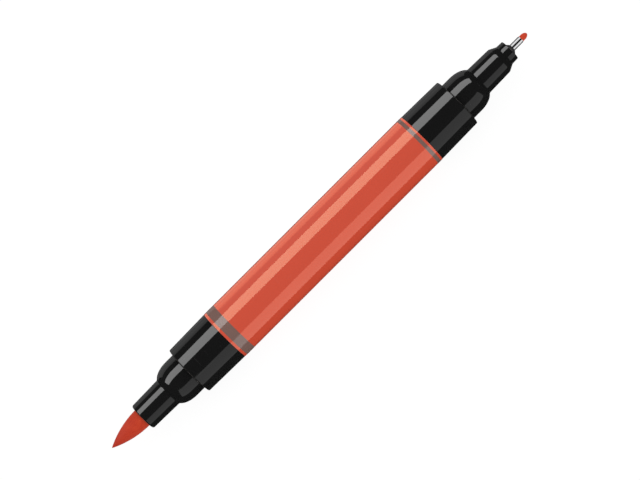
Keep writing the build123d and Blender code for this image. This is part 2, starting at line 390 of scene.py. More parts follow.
class Board:
    """A node tree with short ways to place and join its nodes.

    Args:
        tree: The tree to wire.
    """

    def __init__(self, tree: bpy.types.NodeTree) -> None:
        """Keeps the tree."""
        self.tree = tree

    def add(self, kind: str, settings: dict[str, object] | None = None, **inputs: object) -> bpy.types.Node:
        """Places a node.

        Args:
            kind: Its type, such as ShaderNodeTexNoise.
            settings: Its own settings by name.
            **inputs: Its input values, named as the sockets are with _ for a space. A socket
                given here is joined, and any other value is set.

        Returns:
            The node.
        """
        node = self.tree.nodes.new(kind)
        for name, value in (settings or {}).items():
            setattr(node, name, value)
        for name, value in inputs.items():
            socket = node.inputs[name.replace("_", " ")]
            if isinstance(value, bpy.types.NodeSocket):
                self.tree.links.new(value, socket)
            else:
                socket.default_value = value
        return node

    def join(self, source: bpy.types.NodeSocket, target: bpy.types.NodeSocket) -> None:
        """Joins an output to an input."""
        self.tree.links.new(source, target)

    def sum_up(
        self, operation: str, first: object, second: object, third: object = 0.0
    ) -> bpy.types.NodeSocket:
        """Works out one number from up to three.

        Args:
            operation: The Math node's operation.
            first: A number or a socket.
            second: A number or a socket.
            third: A number or a socket, where the operation takes three.

        Returns:
            The result.
        """
        node = self.tree.nodes.new("ShaderNodeMath")
        node.operation = operation
        for socket, value in zip(node.inputs, (first, second, third)):
            if isinstance(value, bpy.types.NodeSocket):
                self.tree.links.new(value, socket)
            else:
                socket.default_value = value
        return node.outputs[0]

    def remap(
        self, value: object, low: float, high: float, to_low: float, to_high: float
    ) -> bpy.types.NodeSocket:
        """Turns one span of numbers into another, and holds the result inside it.

        Args:
            value: The socket to read.
            low: The start of its span.
            high: The end of its span.
            to_low: What low becomes.
            to_high: What high becomes.

        Returns:
            The result.
        """
        node = self.add("ShaderNodeMapRange", From_Min=low, From_Max=high, To_Min=to_low, To_Max=to_high)
        self.join(value, node.inputs["Value"])
        return node.outputs["Result"]

    def noise(self, place: object, scale: object, detail: float = 3.0) -> bpy.types.NodeSocket:
        """Places a noise texture.

        Args:
            place: The coordinates.
            scale: Its scale, in features a metre, as a number or a socket.
            detail: Its detail.

        Returns:
            Its value, about 0.5 on average.
        """
        node = self.add("ShaderNodeTexNoise", Vector=place, Scale=scale, Detail=detail)
        return node.outputs[0]

    def stretch(self, place: object, along: float, across: float) -> bpy.types.NodeSocket:
        """Scales coordinates along the pen and across it.

        Args:
            place: The coordinates.
            along: The scale along X.
            across: The scale along Y and Z.

        Returns:
            The scaled coordinates.
        """
        node = self.add("ShaderNodeMapping", Vector=place, Scale=(along, across, across))
        return node.outputs[0]

    def mix(self, share: object, first: object, second: object, blend: str = "MIX") -> bpy.types.NodeSocket:
        """Mixes two colours.

        Args:
            share: How much of the second shows, as a number or a socket.
            first: A colour or a socket.
            second: A colour or a socket.
            blend: The blend mode.

        Returns:
            The mixed colour.
        """
        node = self.tree.nodes.new("ShaderNodeMix")
        node.data_type = "RGBA"
        node.blend_type = blend
        for socket, value in zip((node.inputs[0], node.inputs[6], node.inputs[7]), (share, first, second)):
            if isinstance(value, bpy.types.NodeSocket):
                self.tree.links.new(value, socket)
            else:
                socket.default_value = value
        return node.outputs[2]

    def shade(self, colour: object, brightness: bpy.types.NodeSocket) -> bpy.types.NodeSocket:
        """Brightens or darkens a colour evenly in its three channels.

        Args:
            colour: A colour or a socket.
            brightness: What each channel is multiplied by.

        Returns:
            The shaded colour.
        """
        grey = self.add("ShaderNodeCombineColor", Red=brightness, Green=brightness, Blue=brightness)
        return self.mix(1.0, colour, grey.outputs[0], "MULTIPLY")


class Effect:
    """A shader effect that is built once, as a node group, and placed in many materials.

    Attributes:
        name: The group's name.
        colours: The names of its colour inputs.
        numbers: The names of its number inputs.
        results: The names of its outputs.
    """

    name = "effect"
    colours = ("Colour",)
    numbers: tuple[str, ...] = ()
    results = ("Colour", "Roughness", "Height")

    def tree(self) -> bpy.types.NodeTree:
        """Finds the node group, or makes it the first time that it is asked for.

        Returns:
            The node group.
        """
        if self.name in bpy.data.node_groups:
            return bpy.data.node_groups[self.name]
        group = bpy.data.node_groups.new(self.name, "ShaderNodeTree")
        group.interface.new_socket("Place", in_out="INPUT", socket_type="NodeSocketVector")
        for name in self.colours:
            group.interface.new_socket(name, in_out="INPUT", socket_type="NodeSocketColor")
        for name in self.numbers:
            group.interface.new_socket(name, in_out="INPUT", socket_type="NodeSocketFloat")
        for name in self.results:
            kind = "NodeSocketColor" if name == "Colour" else "NodeSocketFloat"
            group.interface.new_socket(name, in_out="OUTPUT", socket_type=kind)
        board = Board(group)
        given = board.add("NodeGroupInput").outputs
        made = self.wire(board, given)
        result = board.add("NodeGroupOutput")
        for name, socket in made.items():
            board.join(socket, result.inputs[name])
        return group

    def wire(self, board: Board, given: bpy.types.NodeOutputs) -> dict[str, bpy.types.NodeSocket]:
        """Wires the effect.

        Args:
            board: The group's tree.
            given: The group's inputs, as outputs to read.

        Returns:
            The results by name.
        """
        raise NotImplementedError

    def place(self, board: Board, place: object, **inputs: object) -> bpy.types.NodeOutputs:
        """Places the effect in a material.

        Args:
            board: The material's tree.
            place: The coordinates.
            **inputs: The group's inputs, named with _ for a space.

        Returns:
            The group node's outputs.
        """
        node = board.tree.nodes.new("ShaderNodeGroup")
        node.node_tree = self.tree()
        for name, value in {"Place": place, **inputs}.items():
            socket = node.inputs[name.replace("_", " ")]
            if isinstance(value, bpy.types.NodeSocket):
                board.join(value, socket)
            else:
                socket.default_value = value
        return node.outputs


class MouldedSkin(Effect):
    """Faint clouding, uneven gloss and orange peel of an injection moulding."""

    name = "moulded_skin"
    numbers = ("Clouding", "Roughness", "Gloss Spread")

    def wire(self, board: Board, given: bpy.types.NodeOutputs) -> dict[str, bpy.types.NodeSocket]:
        """Wires broad clouding into the colour, and fine peel into the gloss and the height.

        Args:
            board: The group's tree.
            given: The group's inputs, as outputs to read.

        Returns:
            The results by name.
        """
        clouds = board.noise(board.stretch(given["Place"], 0.4, 1.0), 260.0, 4.0)
        off_middle = board.sum_up("SUBTRACT", clouds, 0.5)
        brightness = board.sum_up("MULTIPLY_ADD", off_middle, given["Clouding"], 1.0)
        colour = board.shade(given["Colour"], brightness)
        patches = board.noise(given["Place"], 900.0, 2.0)
        spread_by = board.sum_up("SUBTRACT", patches, 0.5)
        roughness = board.sum_up("MULTIPLY_ADD", spread_by, given["Gloss Spread"], given["Roughness"])
        peel = board.noise(given["Place"], 1700.0, 1.0)
        return {"Colour": colour, "Roughness": roughness, "Height": peel}


class HandlingMarks(Effect):
    """Hairline scratches and specks of dust from being handled."""

    name = "handling_marks"
    numbers = ("Roughness", "Amount")

    def wire(self, board: Board, given: bpy.types.NodeOutputs) -> dict[str, bpy.types.NodeSocket]:
        """Wires two sets of hairlines and one of specks into the colour, gloss and height.

        Args:
            board: The group's tree.
            given: The group's inputs, as outputs to read.

        Returns:
            The results by name.
        """
        along = board.noise(board.stretch(given["Place"], 60.0, 5200.0), 1.0, 1.0)
        round_it = board.noise(board.stretch(given["Place"], 6400.0, 90.0), 1.0, 1.0)
        long_hairs = board.remap(along, 0.735, 0.765, 0.0, 1.0)
        cross_hairs = board.remap(round_it, 0.75, 0.78, 0.0, 1.0)
        hairs = board.sum_up("MAXIMUM", long_hairs, cross_hairs)
        where = board.remap(board.noise(given["Place"], 140.0, 2.0), 0.48, 0.62, 0.0, 1.0)
        hairs = board.sum_up("MULTIPLY", board.sum_up("MULTIPLY", hairs, where), given["Amount"])
        specks = board.add("ShaderNodeTexVoronoi", Vector=given["Place"], Scale=1500.0)
        size = board.remap(board.noise(given["Place"], 420.0, 1.0), 0.55, 0.8, 0.0, 0.16)
        dust = board.sum_up("LESS_THAN", specks.outputs["Distance"], size)
        dust = board.sum_up("MULTIPLY", dust, given["Amount"])
        marked = board.mix(board.sum_up("MULTIPLY", hairs, 0.10), given["Colour"], SCRATCHED)
        colour = board.mix(board.sum_up("MULTIPLY", dust, 0.22), marked, DUST)
        rough = board.sum_up("MULTIPLY_ADD", hairs, 0.12, given["Roughness"])
        roughness = board.sum_up("MULTIPLY_ADD", dust, 0.3, rough)
        return {"Colour": colour, "Roughness": roughness, "Height": board.sum_up("SUBTRACT", dust, hairs)}


class RimWear(Effect):
    """Rubbed, slightly paler plastic along an edge that runs round the pen."""

    name = "rim_wear"
    numbers = ("Roughness", "Rim", "Reach", "Amount")
    results = ("Colour", "Roughness")

    def wire(self, board: Board, given: bpy.types.NodeOutputs) -> dict[str, bpy.types.NodeSocket]:
        """Wires a broken band at the edge's place along X.

        Args:
            board: The group's tree.
            given: The group's inputs, as outputs to read.

        Returns:
            The results by name.
        """
        axes = board.add("ShaderNodeSeparateXYZ", Vector=given["Place"])
        away = board.sum_up("ABSOLUTE", board.sum_up("SUBTRACT", axes.outputs["X"], given["Rim"]), 0.0)
        near = board.sum_up("SUBTRACT", 1.0, board.sum_up("DIVIDE", away, given["Reach"]))
        patches = board.sum_up("SUBTRACT", board.noise(given["Place"], 1600.0), 0.75)
        patchy = board.sum_up("ADD", near, patches)
        mask = board.sum_up("MULTIPLY", board.remap(patchy, 0.35, 0.7, 0.0, 1.0), given["Amount"])
        colour = board.mix(mask, given["Colour"], RUBBED)
        roughness = board.sum_up("MULTIPLY_ADD", mask, 0.35, given["Roughness"])
        return {"Colour": colour, "Roughness": roughness}


class FibreGrain(Effect):
    """Fine fibres that run along the pen, darker where more ink sits between them."""

    name = "fibre_grain"
    colours = ("Colour", "Deep Colour")
    numbers = ("Fibres",)

    def wire(self, board: Board, given: bpy.types.NodeOutputs) -> dict[str, bpy.types.NodeSocket]:
        """Wires long streaks and short crossing hairs into the colour, gloss and height.

        Args:
            board: The group's tree.
            given: The group's inputs, as outputs to read.

        Returns:
            The results by name.
        """
        streaks = board.noise(board.stretch(given["Place"], 0.12, 1.0), given["Fibres"], 3.0)
        hairs = board.noise(board.stretch(given["Place"], 0.7, 1.0), given["Fibres"], 5.0)
        soaked = board.noise(given["Place"], 380.0, 2.0)
        height = board.sum_up("MULTIPLY_ADD", streaks, 0.6, board.sum_up("MULTIPLY", hairs, 0.4))
        deep = board.sum_up("MULTIPLY_ADD", soaked, 0.6, board.sum_up("MULTIPLY", height, -1.0))
        share = board.remap(deep, -0.45, 0.05, 0.0, 1.0)
        colour = board.mix(share, given["Colour"], given["Deep Colour"])
        roughness = board.remap(height, 0.3, 0.7, 0.78, 0.95)
        return {"Colour": colour, "Roughness": roughness, "Height": height}


# ------------------------------------------------------------------ finishes


@dataclass(frozen=True)
class Finish:
    """A surface finish, which is one material.

    Attributes:
        name: The material's name.
    """

    name: str

    def material(self) -> bpy.types.Material:
        """Makes the material.

        Returns:
            The material, with its shader joined to its output.
        """
        material = bpy.data.materials.new(self.name)
        material.use_nodes = True
        material.node_tree.nodes.clear()
        board = Board(material.node_tree)
        shader = board.add("ShaderNodeBsdfPrincipled")
        result = board.add("ShaderNodeOutputMaterial")
        board.join(shader.outputs[0], result.inputs["Surface"])
        self.wire(board, shader)
        return material

    def wire(self, board: Board, shader: bpy.types.Node) -> None:
        """Wires the finish into its shader.

        Args:
            board: The material's tree.
            shader: Its Principled BSDF.
        """
        raise NotImplementedError

    @staticmethod
    def place(board: Board) -> bpy.types.NodeSocket:
        """The coordinates that a rigid piece's patterns follow."""
        return board.add("ShaderNodeTexCoord").outputs["Object"]

    @staticmethod
    def bump(board: Board, shader: bpy.types.Node, height: bpy.types.NodeSocket, depth: float) -> None:
        """Raises the surface by a height pattern.

        Args:
            board: The material's tree.
            shader: Its Principled BSDF.
            height: The pattern, from 0 to 1.
            depth: How far 1 stands above 0.
        """
        bump = board.add("ShaderNodeBump", Height=height, Distance=depth, Strength=1.0)
        board.join(bump.outputs[0], shader.inputs["Normal"])


@dataclass(frozen=True)
class MouldedPlastic(Finish):
    """Glossy moulded plastic with faint clouding, orange peel, hairlines and worn rims.

    Attributes:
        colour: The plastic's colour.
        roughness: How rough its gloss is.
        clouding: How much its colour varies.
        marks: How many scratches and specks it has, from 0 to 1.
        rims: Where along X its rubbed edges run.
        rim_reach: How far a rubbed edge reaches to each side.
        rim_wear: How much it is rubbed, from 0 to 1.
        peel: The depth of its orange peel.
    """

    colour: Colour
    roughness: float = 0.05
    clouding: float = 0.08
    marks: float = 0.5
    rims: tuple[float, ...] = ()
    rim_reach: float = 0.35 * MM
    rim_wear: float = 0.09
    peel: float = 0.00012 * MM

    def wire(self, board: Board, shader: bpy.types.Node) -> None:
        """Wires the moulded skin, then its marks, then each rubbed edge.

        Args:
            board: The material's tree.
            shader: Its Principled BSDF.
        """
        place = self.place(board)
        skin = MouldedSkin().place(
            board,
            place,
            Colour=self.colour,
            Clouding=self.clouding,
            Roughness=self.roughness,
            Gloss_Spread=0.03,
        )
        marked = HandlingMarks().place(
            board, place, Colour=skin["Colour"], Roughness=skin["Roughness"], Amount=self.marks
        )
        colour, roughness = marked["Colour"], marked["Roughness"]
        for rim in self.rims:
            worn = RimWear().place(
                board,
                place,
                Colour=colour,
                Roughness=roughness,
                Rim=rim,
                Reach=self.rim_reach,
                Amount=self.rim_wear,
            )
            colour, roughness = worn["Colour"], worn["Roughness"]
        board.join(colour, shader.inputs["Base Color"])
        board.join(roughness, shader.inputs["Roughness"])
        self.bump(board, shader, skin["Height"], self.peel)


@dataclass(frozen=True)
class MetallicPlastic(Finish):
    """Grey plastic with a metallic pigment, moulded smooth.

    Attributes:
        colour: The colour of the pigment.
        roughness: How rough its gloss is.
        metallic: How metallic the pigment looks, from 0 to 1.
        peel: The depth of its orange peel.
    """

    colour: Colour
    roughness: float = 0.22
    metallic: float = 0.85
    peel: float = 0.0004 * MM

    def wire(self, board: Board, shader: bpy.types.Node) -> None:
        """Wires the moulded skin and the pigment's fine glitter.

        Args:
            board: The material's tree.
            shader: Its Principled BSDF.
        """
        place = self.place(board)
        skin = MouldedSkin().place(
            board, place, Colour=self.colour, Clouding=0.2, Roughness=self.roughness, Gloss_Spread=0.1
        )
        glitter = board.remap(board.noise(place, 16000.0, 1.0), 0.35, 0.65, 0.86, 1.1)
        board.join(board.shade(skin["Colour"], glitter), shader.inputs["Base Color"])
        board.join(skin["Roughness"], shader.inputs["Roughness"])
        shader.inputs["Metallic"].default_value = self.metallic
        self.bump(board, shader, skin["Height"], self.peel)


@dataclass(frozen=True)
class PrintedInk(Finish):
    """Opaque screen-printed ink: flat, even, with pinholes and a fine speckle of pigment.

    Attributes:
        colour: The ink's colour.
        under: The colour that shows through its pinholes.
        roughness: How rough its gloss is.
        grain: The depth of its grain.
    """

    colour: Colour
    under: Colour
    roughness: float = 0.09
    grain: float = 0.0002 * MM

    def wire(self, board: Board, shader: bpy.types.Node) -> None:
        """Wires the pigment, the pinholes and a thin grain.

        Args:
            board: The material's tree.
            shader: Its Principled BSDF.
        """
        place = self.place(board)
        skin = MouldedSkin().place(
            board, place, Colour=self.colour, Clouding=0.14, Roughness=self.roughness, Gloss_Spread=0.06
        )
        pigment = board.remap(board.noise(place, 9000.0, 1.0), 0.35, 0.65, 0.94, 1.06)
        speckled = board.shade(skin["Colour"], pigment)
        dots = board.add("ShaderNodeTexVoronoi", Vector=place, Scale=2600.0)
        pinholes = board.sum_up("LESS_THAN", dots.outputs["Distance"], 0.07)
        board.join(board.mix(pinholes, speckled, self.under), shader.inputs["Base Color"])
        board.join(skin["Roughness"], shader.inputs["Roughness"])
        self.bump(board, shader, board.noise(place, 5200.0, 1.0), self.grain)


@dataclass(frozen=True)
class InkedFibre(Finish):
    """Bonded fibre soaked in ink, with its grain along the pen.

    Attributes:
        colour: The colour of the fibres.
        deep: The colour where ink pools.
        fibres: How many fibres there are to a metre.
        depth: How deep the grain is.
        attribute: The attribute that holds the piece's unbent coordinates, or "" for a stiff one.
        tip: Where along X the writing end is, which is wetter, or None for no such end.
        wet_length: How far the wetter end reaches.
    """

    colour: Colour
    deep: Colour
    fibres: float = 9000.0
    depth: float = 0.012 * MM
    attribute: str = ""
    tip: float | None = None
    wet_length: float = 9 * MM

    def wire(self, board: Board, shader: bpy.types.Node) -> None:
        """Wires the grain and the wetter writing end.

        Args:
            board: The material's tree.
            shader: Its Principled BSDF.
        """
        place = self.place(board)
        if self.attribute:
            place = board.add("ShaderNodeAttribute", {"attribute_name": self.attribute}).outputs["Vector"]
        grain = FibreGrain().place(
            board, place, Colour=self.colour, Deep_Colour=self.deep, Fibres=self.fibres
        )
        colour, roughness = grain["Colour"], grain["Roughness"]
        if self.tip is not None:
            axes = board.add("ShaderNodeSeparateXYZ", Vector=place)
            away = board.sum_up("ABSOLUTE", board.sum_up("SUBTRACT", axes.outputs["X"], self.tip), 0.0)
            wet = board.remap(away, 0.0, self.wet_length, 0.95, 0.0)
            colour = board.mix(wet, colour, self.deep)
            roughness = board.sum_up("MULTIPLY_ADD", wet, -0.35, roughness)
        board.join(colour, shader.inputs["Base Color"])
        board.join(roughness, shader.inputs["Roughness"])
        shader.inputs["Specular IOR Level"].default_value = 0.15
        shader.inputs["Sheen Weight"].default_value = 0.03
        shader.inputs["Sheen Roughness"].default_value = 0.5
        self.bump(board, shader, grain["Height"], self.depth)


@dataclass(frozen=True)
class DrawnSteel(Finish):
    """Bright drawn steel with hairlines along the tube.

    Attributes:
        colour: The colour of the steel.
        roughness: How rough its polish is between the draw lines.
        line_roughness: How rough it is on them.
        line_depth: How deep they are.
    """

    colour: Colour
    roughness: float = 0.08
    line_roughness: float = 0.16
    line_depth: float = 0.0003 * MM

    def wire(self, board: Board, shader: bpy.types.Node) -> None:
        """Wires the draw lines into the polish and the height, and a faint tone into the colour.

        Args:
            board: The material's tree.
            shader: Its Principled BSDF.
        """
        place = self.place(board)
        lines = board.noise(board.stretch(place, 0.03, 1.0), 26000.0, 2.0)
        polish = board.remap(lines, 0.3, 0.7, self.roughness, self.line_roughness)
        marked = HandlingMarks().place(board, place, Colour=self.colour, Roughness=polish, Amount=0.4)
        tone = board.remap(board.noise(place, 900.0, 2.0), 0.3, 0.7, 0.94, 1.0)
        board.join(board.shade(marked["Colour"], tone), shader.inputs["Base Color"])
        board.join(marked["Roughness"], shader.inputs["Roughness"])
        shader.inputs["Metallic"].default_value = 1.0
        self.bump(board, shader, lines, self.line_depth)


@dataclass(frozen=True)
class ClearFilm(Finish):
    """Thin clear film round the reservoir, tinted by the ink behind it.

    Attributes:
        colour: The tint.
        cover: How much of what lies behind it is hidden, from 0 to 1.
        crease_depth: How deep its creases are.
    """

    colour: Colour
    cover: float = 0.45
    crease_depth: float = 0.02 * MM

    def wire(self, board: Board, shader: bpy.types.Node) -> None:
        """Wires a creased, glossy, half-clear skin, with painted shade in the hollows of its creases.

        Args:
            board: The material's tree.
            shader: Its Principled BSDF.
        """
        place = self.place(board)
        creases = board.noise(board.stretch(place, 0.3, 1.0), 700.0, 4.0)
        # Painted shade: the colour darkens where the crease pattern is low, which the bump makes the
        # hollows.
        tone = board.remap(creases, 0.3, 0.7, 0.85, 1.0)
        board.join(board.shade(self.colour, tone), shader.inputs["Base Color"])
        board.join(board.remap(creases, 0.3, 0.7, 0.1, 0.25), shader.inputs["Roughness"])
        shader.inputs["Alpha"].default_value = self.cover
        self.bump(board, shader, creases, self.crease_depth)


CORAL = srgb(205, 76, 53)
RING_BROWN = srgb(121, 95, 88)
SOFT_BLACK = srgb(22, 22, 22)
BUSHING_GREY = srgb(126, 126, 128)
BRIGHT_STEEL = (0.86, 0.86, 0.87, 1.0)
INK_PALE = srgb(209, 73, 43)
INK_DEEP = srgb(176, 42, 18)
INK_IN_CORE = srgb(222, 128, 106)
FILM_TINT = srgb(236, 214, 206)


# ------------------------------------------------------------------ barrel


@dataclass(frozen=True)
class Barrel:
    """The red-orange tube, and the two rings printed round it.

    Attributes:
        outer_radius: The tube's outer radius.
        wall: Its wall.
        edge_radius: The rounding of its outer edges.
        ring_inset: How far the wide ring starts from the brush end.
        wide_ring: The wide ring's width.
        narrow_inset: How far the narrow ring ends from the fine end.
        narrow_ring: The narrow ring's width.
        ink_thickness: How thick the print is.
    """

    outer_radius: float = 6.75 * MM
    wall: float = 1.1 * MM
    edge_radius: float = 0.12 * MM
    ring_inset: float = 0.68 * MM
    wide_ring: float = 2.45 * MM
    narrow_inset: float = 0.56 * MM
    narrow_ring: float = 0.92 * MM
    ink_thickness: float = 0.012 * MM

    def ends(self) -> tuple[float, float]:
        """Where the tube starts and ends along X."""
        low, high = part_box("barrel")
        return low.x, high.x

    def build(self) -> None:
        """Builds the tube and its printed rings."""
        start, end = self.ends()
        plastic = MouldedPlastic("barrel_plastic", CORAL, rims=(start, end)).material()
        self.tube(start, end).finished(PEN_BODY, plastic, "barrel_plastic")
        ink = PrintedInk("ring_ink", RING_BROWN, CORAL).material()
        wide_start = start + self.ring_inset
        narrow_end = end - self.narrow_inset
        self.printed_ring("wide_printed_ring", wide_start, wide_start + self.wide_ring, ink)
        self.printed_ring("narrow_printed_ring", narrow_end - self.narrow_ring, narrow_end, ink)

    def tube(self, start: float, end: float) -> Workpiece:
        """Turns the hollow tube and rounds its edges.

        Args:
            start: Its brush end along X.
            end: Its fine end along X.

        Returns:
            The tube.
        """
        bore = self.outer_radius - self.wall
        outside = spread(Ring(start, self.outer_radius), Ring(end, self.outer_radius), 16)
        inside = spread(Ring(end, bore), Ring(start, bore), 4)
        tube = Workpiece.turned("barrel_tube", outside + inside, Closing.LOOP)
        tube.round_rings([outside[0], outside[-1]], self.edge_radius)
        tube.round_rings([inside[0], inside[-1]], self.edge_radius, 2)
        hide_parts("barrel")
        log.info("barrel tube: %d faces", len(tube.piece.data.polygons))
        return tube

    def printed_ring(self, name: str, start: float, end: float, ink: bpy.types.Material) -> None:
        """Lays a thin closed band of ink round the tube.

        Args:
            name: The band's name.
            start: Where it starts along X.
            end: Where it ends along X.
            ink: Its material.
        """
        top = self.outer_radius + self.ink_thickness
        under = self.outer_radius - self.ink_thickness
        outline = [Ring(start, under), Ring(start, top), Ring(end, top), Ring(end, under)]
        band = Workpiece.turned(name, outline, Closing.LOOP)
        band.round_rings([outline[1], outline[2]], self.ink_thickness / 2, 2)
        band.finished(PEN_BODY, ink, "barrel_plastic")
        log.info("%s: %.2f mm wide", name, (end - start) / MM)


# ------------------------------------------------------------------ front pieces


@dataclass(frozen=True)
class FrontPiece:
    """What the two black front pieces share: snap plug, sleeve, cap seat and dome.

    Attributes:
        end: Which end of the pen it is.
        sleeve_length: How far its sleeve stands out of the barrel.
        plug_length: How far its plug goes into the barrel.
        plug_radius: The plug's radius.
        bead_inset: How far inside the barrel the middle of its snap bead is.
        bead_length: The bead's length.
        bead_height: The bead's height.
        sleeve_root: The sleeve's radius at the barrel.
        sleeve_tip: The sleeve's radius at its free end.
        sleeve_edge: The rounding of its free end.
        joint_edge: The rounding of its edge at the barrel.
        seat_radius: The cap seat's radius.
        seat_length: The cap seat's length.
        dome_reach: The dome ellipse's half length.
        dome_drop: The dome ellipse's half height.
        nozzle_root: The nozzle's radius where it leaves the dome.
        foot_radius: The hollow rounding there.
        relief_width: The width of the undercut where the seat meets the sleeve's end.
        relief_depth: Its depth.
        chamber_radius: The bore that holds the reservoir.
        chamber_past_seat: How far the chamber goes past the cap seat.
        funnel_length: The length over which the chamber narrows.
    """

    end: End
    sleeve_length: float
    plug_length: float = 8.0 * MM
    plug_radius: float = 5.64 * MM
    bead_inset: float = 5.0 * MM
    bead_length: float = 1.6 * MM
    bead_height: float = 0.15 * MM
    sleeve_root: float = 6.72 * MM
    sleeve_tip: float = 6.52 * MM
    sleeve_edge: float = 0.3 * MM
    joint_edge: float = 0.0625 * MM
    seat_radius: float = 5.25 * MM
    seat_length: float = 2.6 * MM
    dome_reach: float = 4.45 * MM
    dome_drop: float = 2.32 * MM
    nozzle_root: float = 3.7 * MM
    foot_radius: float = 0.25 * MM
    relief_width: float = 0.26 * MM
    relief_depth: float = 0.17 * MM
    chamber_radius: float = 4.2 * MM
    chamber_past_seat: float = 1.4 * MM
    funnel_length: float = 0.6 * MM

    def joint(self) -> float:
        """Where the piece meets the barrel along X."""
        low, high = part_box("barrel")
        return low.x if self.end is End.BRUSH else high.x

    def out(self, distance: float, radius: float) -> Ring:
        """A ring at a distance out of the barrel, towards this end of the pen."""
        return Ring(self.joint() + self.end.value * distance, radius)

    @property
    def dome_start(self) -> float:
        """How far out the dome starts."""
        return self.sleeve_length + self.seat_length

    @property
    def dome_foot_angle(self) -> float:
        """The ellipse's angle, in degrees, at which the nozzle leaves it."""
        centre = self.seat_radius - self.dome_drop
        return math.degrees(math.asin((self.nozzle_root - centre) / self.dome_drop))

    @property
    def dome_end(self) -> float:
        """How far out the dome ends."""
        return self.dome_start + self.dome_reach * math.cos(math.radians(self.dome_foot_angle))

    @property
    def chamber_end(self) -> float:
        """How far out the reservoir's chamber ends."""
        return self.dome_start + self.chamber_past_seat

    def outside(self) -> list[Ring]:
        """Draws the outline from the plug's back end to the foot of the dome.

        Returns:
            The rings in order.
        """
        bead = arc(
            self.out(-self.bead_inset, self.plug_radius),
            self.end.value * self.bead_length / 2,
            self.bead_height,
            180,
            0,
            6,
        )
        dome = arc(
            self.out(self.dome_start, self.seat_radius - self.dome_drop),
            self.end.value * self.dome_reach,
            self.dome_drop,
            90,
            self.dome_foot_angle,
            28,
        )
        plug = [self.out(-self.plug_length, self.plug_radius), *bead, self.out(0, self.plug_radius)]
        sleeve = spread(self.out(0, self.sleeve_root), self.out(self.sleeve_length, self.sleeve_tip), 4)
        seat = [
            self.out(self.sleeve_length, self.seat_radius - self.relief_depth),
            self.out(self.sleeve_length + self.relief_width, self.seat_radius),
        ]
        return plug + sleeve + seat + dome

    def chamber(self, neck_radius: float) -> list[Ring]:
        """The rings of the bore, from the neck back to the plug's back end.

        Args:
            neck_radius: The radius that the chamber narrows to.

        Returns:
            The rings in order.
        """
        return [
            self.out(self.chamber_end + self.funnel_length, neck_radius),
            self.out(self.chamber_end, self.chamber_radius),
            self.out(-self.plug_length, self.chamber_radius),
        ]

    def round_shared_edges(self, work: Workpiece) -> None:
        """Rounds the edges that both front pieces have.

        Args:
            work: The front piece.
        """
        work.round_rings([self.out(-self.plug_length, self.plug_radius)], self.sleeve_edge, 2)
        work.round_rings([self.out(0, self.sleeve_root)], self.joint_edge, 2)
        work.round_rings([self.out(self.sleeve_length, self.sleeve_tip)], self.sleeve_edge, 5)
        work.round_rings([self.out(self.dome_end, self.nozzle_root)], self.foot_radius, 5)

    def plastic(self, tip_x: float) -> bpy.types.Material:
        """The black plastic, rubbed at the sleeve's end and at the nozzle's.

        Args:
            tip_x: Where the nozzle ends along X.

        Returns:
            The material.
        """
        sleeve_x = self.out(self.sleeve_length, 0).x
        name = f"{self.end.name.lower()}_black_plastic"
        rims = (sleeve_x, tip_x)
        return MouldedPlastic(name, SOFT_BLACK, clouding=0.2, marks=0.22, rims=rims).material()


@dataclass(frozen=True)
class BrushSection(FrontPiece):
    """The black front piece of the brush end, grooved inside for air.

    Attributes:
        end: The brush end.
        sleeve_length: How far its sleeve stands out of the barrel.
        nozzle_length: The nozzle's length.
        mouth_radius: Its radius at the mouth.
        mouth_edge: The rounding of its mouth.
        bore_radius: The bore that holds the brush nib.
        bore_edge: The rounding of the bore's edge.
        vent_width: The width of each air groove.
        vent_depth: Its depth.
    """

    end: End = End.BRUSH
    sleeve_length: float = 11.5 * MM
    nozzle_length: float = 8.34 * MM
    mouth_radius: float = 3.53 * MM
    mouth_edge: float = 0.42 * MM
    bore_radius: float = 2.475 * MM
    bore_edge: float = 0.06 * MM
    vent_width: float = 0.6 * MM
    vent_depth: float = 0.35 * MM

    @property
    def mouth(self) -> float:
        """How far out the nozzle's mouth is."""
        return self.dome_end + self.nozzle_length

    def build(self) -> None:
        """Builds the front piece."""
        lips = [self.out(self.mouth, self.mouth_radius), self.out(self.mouth, self.bore_radius)]
        outline = self.outside() + lips + self.chamber(self.bore_radius)
        work = Workpiece.turned("brush_front_piece", outline, Closing.LOOP)
        self.round_shared_edges(work)
        work.round_rings([lips[0]], self.mouth_edge, 6)
        work.round_rings([lips[1]], self.bore_edge, 3)
        self.cut_vents(work)
        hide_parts("brush_section")
        work.finished(PEN_BODY, self.plastic(lips[0].x), "black_plastic")
        log.info("brush front piece: %d faces", len(work.piece.data.polygons))

    def cut_vents(self, work: Workpiece) -> None:
        """Cuts the air grooves into the bore, two at a time.

        Args:
            work: The front piece.
        """
        past_mouth = self.mouth + self.mouth_edge
        middle = self.out((self.chamber_end + past_mouth) / 2, 0).x
        floor = 2 * (self.bore_radius + self.vent_depth)
        for turn in (0, math.pi / 2):
            deselect_everything()
            bpy.ops.mesh.primitive_cube_add(size=1, location=(middle, 0, 0), rotation=(turn, 0, 0))
            groove = bpy.context.active_object
            groove.scale = (past_mouth - self.chamber_end, self.vent_width, floor)
            bpy.ops.object.transform_apply(location=True, rotation=True, scale=True)
            work.cut(groove)


